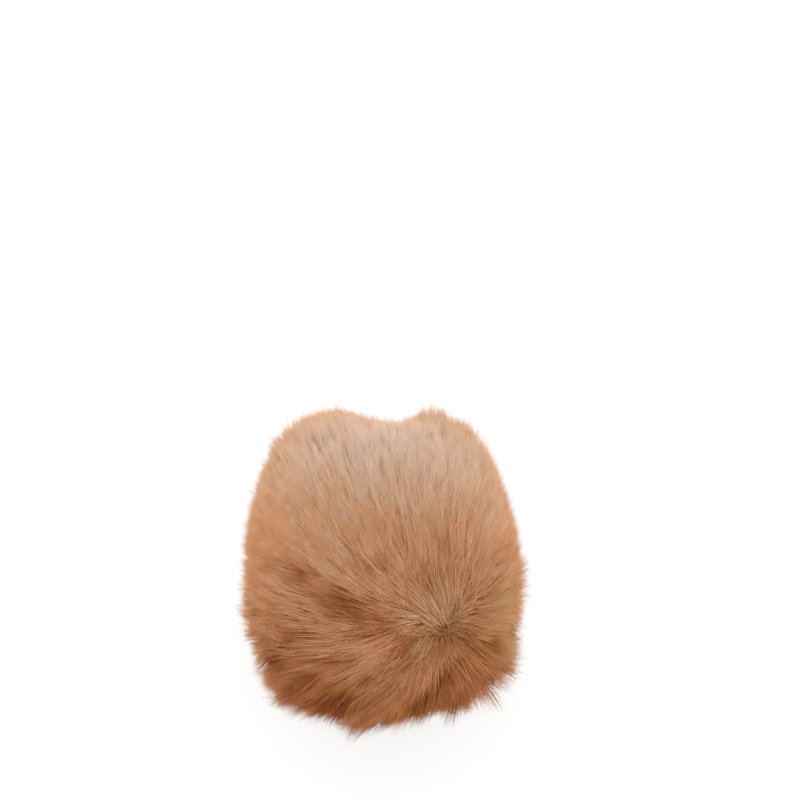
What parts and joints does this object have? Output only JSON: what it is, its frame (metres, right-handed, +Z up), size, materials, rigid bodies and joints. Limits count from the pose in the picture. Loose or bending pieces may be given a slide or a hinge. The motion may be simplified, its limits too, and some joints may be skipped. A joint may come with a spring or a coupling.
{
  "type": "faux fur pom pom",
  "caption": "Loose, slightly oval ball of long-pile faux fur that rests on a surface, its pile leaning away from a parting at the front.",
  "frame": {"origin": "middle of the ball's outline, on the surface that it rests on", "axes": "+Z up; +Y towards the back, along the ball's longer side; -Y is the front, where the pile parts; +X to the right seen from the front"},
  "size_m": [0.0938, 0.1088, 0.096],
  "materials": {
    "tan_fur": "long soft faux-fur pile, tan with paler tips and darker roots"
  },
  "bodies": {
    "root": {"pom_pom": "tan_fur"}
  },
  "joints": []
}
